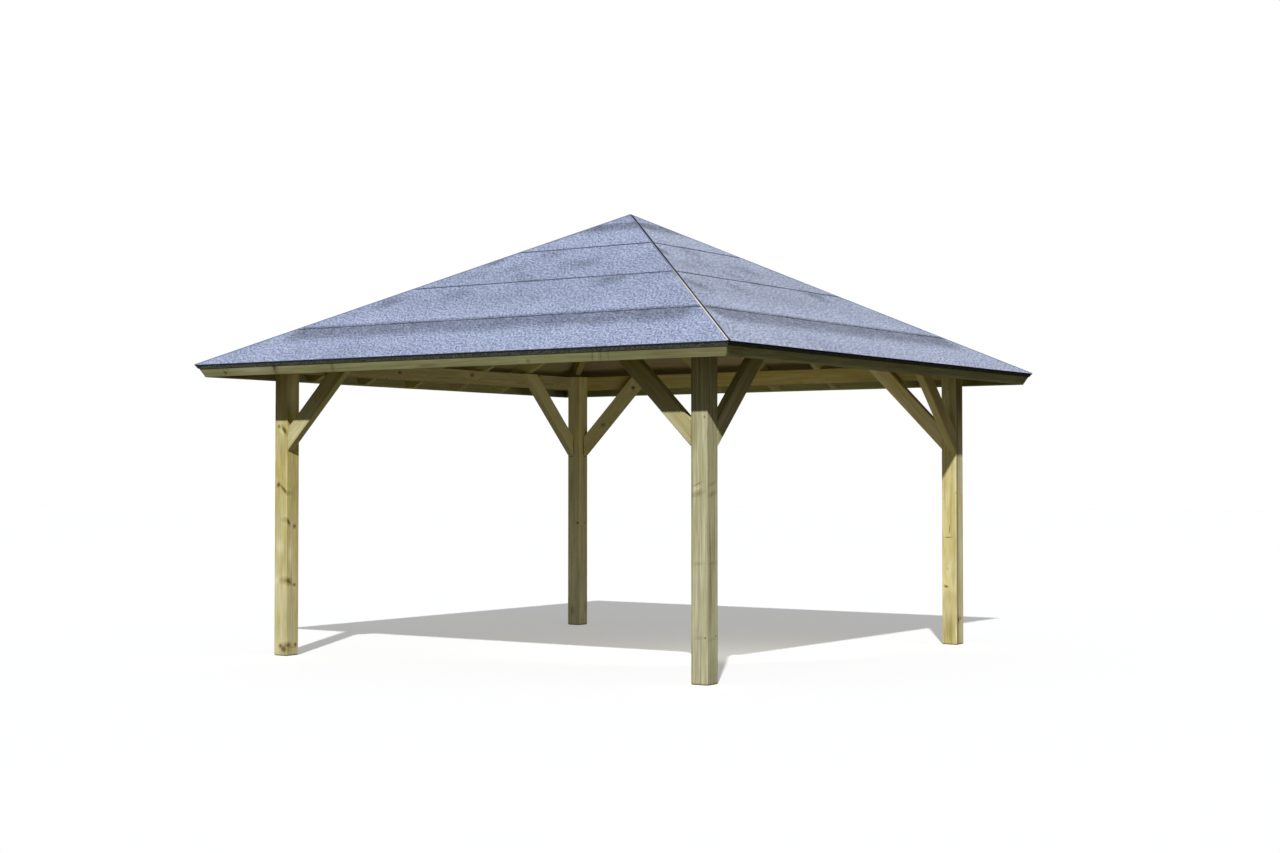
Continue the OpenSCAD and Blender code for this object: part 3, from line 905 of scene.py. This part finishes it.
# A sheet of felt: s and w run over the slope between the hips, and d is minus the height at which the
# sheet lies. It rides over the sheet below by a thickness, comes down past that sheet's end, and its
# lower edge lifts in long soft waves.
def feltSheet(side, lower, upper, length, depth, seed):
    i = sideNames.index(side)
    end = min(upper + feltLook["cover"], length)
    rowCount = max(int((end - lower) / feltLook["down"]), 4)
    up = np.linspace(lower, end, rowCount)[:, None]
    v = np.linspace(-1, 1, feltLook["across"] + 1)[None, :]
    s = length - up
    own, w = up - lower, v * s * cosPitch
    draw = np.random.default_rng(seed)
    wave = np.zeros_like(own + w)
    for alongSlope, upSlope, part in feltWaves:
        turn, lean = draw.uniform(0, feltLook["phase"]), draw.uniform(0, feltLook["phase"])
        wave += part * np.sin(w * 2 * math.pi / alongSlope + turn
                              + np.sin(own * 2 * math.pi / upSlope + lean))
    wave = np.clip((wave + 2) / 4, 0, 1)
    lapped = float(lower > 0)  # the lowest sheet lies flat on the drip strip
    over = lapped * feltLook["thick"] * (1 - smoothStep(own, feltLook["cover"], 2 * feltLook["cover"]))
    lift = feltLook["wave"] + lapped * np.exp(-own / feltLook["liftFade"]) * feltLook["lift"]
    under = depth - (over + wave * lift) * smoothStep(s, *feltLook["peakFade"])
    top = under - feltLook["thick"] * feltLook["body"]
    s = s + 0 * v
    above = slopePoint(i, s, top, w)
    beneath = slopePoint(i, np.maximum(s, under * sinPitch / cosPitch), under, w)
    points = np.concatenate([above, beneath[:, ::-1]], 1)
    below = upper - up + 0 * v
    lap = np.stack([own + 0 * v, below, dirtOn(s, w, seed + 5)], -1)
    sheet = np.stack([w, s / feltLook["drawn"], np.full_like(s, feltSideSheen[side])], -1)
    return closedTube(points, {"lap": np.concatenate([lap, lap[:, ::-1]], 1),
                               "sheet": np.concatenate([sheet, sheet[:, ::-1]], 1)})


slateFelt, tree = newMaterial("slate_felt")
own, below, dirt = tree.split(tree.field("lap"))
along, down, tone = tree.split(tree.field("sheet"))
flat = tree.add("CombineXYZ", None, {0: along, 1: down})
granule = tree.granules(flat)
value = 0.5 + (granule - 0.5) * feltWear["granule"]
for perMetre, detail, rough, amount in feltSpeckle:
    value = value + (tree.noise(flat, perMetre, detail, rough) - 0.5) * amount
colour = tree.ramp(value, feltWear["stops"])
soil = dirt * (0.8 + 0.4 * tree.step(tree.noise(flat, 16, 3, 0.6), 0.35, 0.65))
# bitumen bled from under the sheet above
wobble = tree.noise(flat, 30, 2)
bleed = (tree.step(below + (wobble - 0.5) * 0.006, 0.007, 0.016, 1, 0) * (1 - dirt * 0.6)
         * tree.step(below, -0.001, 0.0, 0, 1))
colour = tree.mix(bleed * feltWear["bled"], colour, feltWear["bitumen"])
colour = tree.mix(tree.step(own, 0.0005, 0.002, 1, 0), colour, feltWear["bitumen"])
# the side's lightness also greys the felt; on the right and rear sides it is painted sheen
colour = tree.add("HueSaturation", None, {
    "Hue": 0.5, "Saturation": 2.2 - tone * 1.2, "Fac": 1.0, "Color": colour,
    "Value": tone * (1 - soil * feltWear["dulling"])})
finishMaterial(tree, colour, 0.9, granule, 0.0006, 0.3)

for i, side in enumerate(sideNames):
    length, d1 = slopeRange("roof_felt_" + side, i)[1::2]
    laps = list(feltLook["laps"]) + [length]
    solids = [feltSheet(side, laps[k], laps[k + 1], length, d1, feltLook["seed"] + 10 * i + k)
              for k in range(len(laps) - 1)]
    makePiece("felt_courses_" + side, solids, slateFelt, "roof_felt", "roof_felt_" + side,
              sharp=60, flats=False)

print("stage: felt edges")

# "lean" is how far the outer face leans back, "short" what is cut off the lower edge, and the last entry
# how much painted shade darkens the side out of the sun
dripLook = {"ease": 0.002, "step": 0.03, "wave": 0.0006, "lean": 1.1, "short": 0.003,
            "paintedSideShade": {"right": 0.1}, "edgeSeed": 700, "downSeed": 710, "outSeed": 720}
edgeWearAndShade = {"stops": [(0.2, paint(52, 59, 56)), (0.55, paint(94, 103, 95)), (1.0, paint(168, 176, 164))],
            "line": paint(42, 48, 62), "turn": (0.28, 0.45)}
hipWearAndShadow = paints(dark=(16, 15, 20), felt=(140, 148, 176), cream=(240, 236, 232), rust=(180, 128, 92))

# The drip strip's felt: dark with pale granules, and a dark line where it turns under the sheet above,
# partly the felt's own dark edge and partly painted shade under that sheet
dripFelt, tree = newMaterial("drip_felt")
place = tree.add("TexCoord", output="Object")
lower, paintedSideShade = tree.split(tree.field("edge"))[1:]
granule = tree.granules(place)
# painted shade lowers the side out of the sun
value = 0.5 + (granule - 0.5) * 0.4 + (tree.noise(place, 150, 2, 0.7) - 0.5) * 3.4 - paintedSideShade * 3
colour = tree.ramp(value, edgeWearAndShade["stops"])
# the dark line at the strip's top: the felt turning under, with painted shade under the sheet above
colour = tree.mix(tree.step(lower, *edgeWearAndShade["turn"], 1, 0) * 0.75, colour, edgeWearAndShade["line"])
finishMaterial(tree, colour, 0.85, granule, 0.0006, 0.3)

for i, side in enumerate(sideNames):
    middle, wide, deep, rows = stripRows("drip_strip_" + side, i, dripLook, dripLook["short"])
    for key, seed, width, share in (("halfB", "downSeed", 7, 2), ("halfA", "outSeed", 9, 4)):
        wave = np.clip(1 + smoothRandom(len(rows["v"]), dripLook[seed] + i, width), 0, 2)
        rows[key] = rows[key] - dripLook["wave"] * wave / share
    a, b = roundedRing(rows)
    # the outer face leans back to a thin lower edge and hardly shades the fascia
    down = 0.5 + b / deep
    a = np.where(a > 0, a * (1 - dripLook["lean"] * smoothStep(down, 0.15, 1.0)), a)
    base = middle + a[..., None] * downSlope(i) + b[..., None] * intoSlope(i)
    level = base @ outwards(i)
    points = base + (level * (2 * rows["v"][:, None] - 1))[..., None] * sideways(i)
    # how far out and down the strip a point lies, from 0 to 1, and how much painted shade darkens its
    # side
    paintedSideShade = np.full_like(a, dripLook["paintedSideShade"].get(side, 0.0))
    edge = np.stack([0.5 + a / wide, down, paintedSideShade], -1)
    makePiece("drip_edge_" + side, [closedTube(points, {"edge": edge})], dripFelt,
              "felt_edge", "drip_strip_" + side)

# the strip's points across, what it is short of the eaves, how far its edges wander between its ends,
# and the torn one
hipLook = {"q": (-0.014, -0.005, 0.0, 0.0016, 0.0075), "end": 0.001, "rows": 60, "wander": 0.0008,
           "torn": "front_right", "seed": 740}

# The torn strip is near-black from the peak down on the side away from side i, partly dark bitumen edge
# and partly painted shadow of the gap along the hip, with a cream edge towards side i in its lower half;
# the other strips take the felt's colour
hipFelt, tree = newMaterial("hip_felt")
q, r, torn = tree.split(tree.field("strip"))
wear = tree.noise(tree.add("CombineXYZ", None, {0: q * 30, 1: r, 2: 0.0}), 9, 3, 0.6)
rusty = tree.step(wear, 0.45, 0.6) * tree.step(r, 2.6, 2.0) * 0.4
cream = tree.mix(rusty, hipWearAndShadow["cream"], hipWearAndShadow["rust"])
edge = tree.mix(tree.step(r + (wear - 0.5) * 0.8, 1.3, 2.0) * torn, hipWearAndShadow["felt"], cream)
# near-black away from side i on the torn strip: dark bitumen edge with painted shadow of the gap along
# the hip
colour = tree.mix(tree.step(q, 0.0008, 0.0016) * torn + 1 - torn, hipWearAndShadow["dark"], edge)
finishMaterial(tree, colour, 0.8, wear, 0.0003, 0.3)

# Strip over a hip: r is the level distance from the peak along the hip, and q the level distance across
# it, positive towards side i. A point of the slopes is at r along + q across, and lower than the peak
# by the fall of the side that it lies on, (r + |q|) / root 2; the strip has its thickness plumb.
for i, corner in enumerate(cornerNames):
    low, high = boxOf("hip_strip_" + corner)
    reach = min(np.abs([low[:2], high[:2]]).max(0)) - hipLook["end"]
    thick = (high[2] - peak) * 0.98
    v = np.linspace(0, 1, hipLook["rows"])[:, None]
    wander = hipLook["wander"] * smoothRandom(hipLook["rows"], hipLook["seed"] + i)[:, None]
    q = np.concatenate([hipLook["q"], hipLook["q"][::-1]]) + wander * (np.abs(v - 0.5) < 0.49)
    r = np.abs(q) + (reach * 2 ** 0.5 - 2 * np.abs(q)) * v
    z = np.repeat([peak + thick, peak], len(hipLook["q"])) - (r + np.abs(q)) * math.tan(pitch) / 2 ** 0.5
    points = r[..., None] * hipWay(i) + q[..., None] * hipWay(i, -1) + z[..., None] * zUp
    strip = np.stack([q, r, np.full_like(r, corner == hipLook["torn"])], -1)
    makePiece("hip_felt_" + corner, [closedTube(points, {"strip": strip})], hipFelt, "felt_edge",
              "hip_strip_" + corner, sharp=60)

bpy.context.view_layer.update()
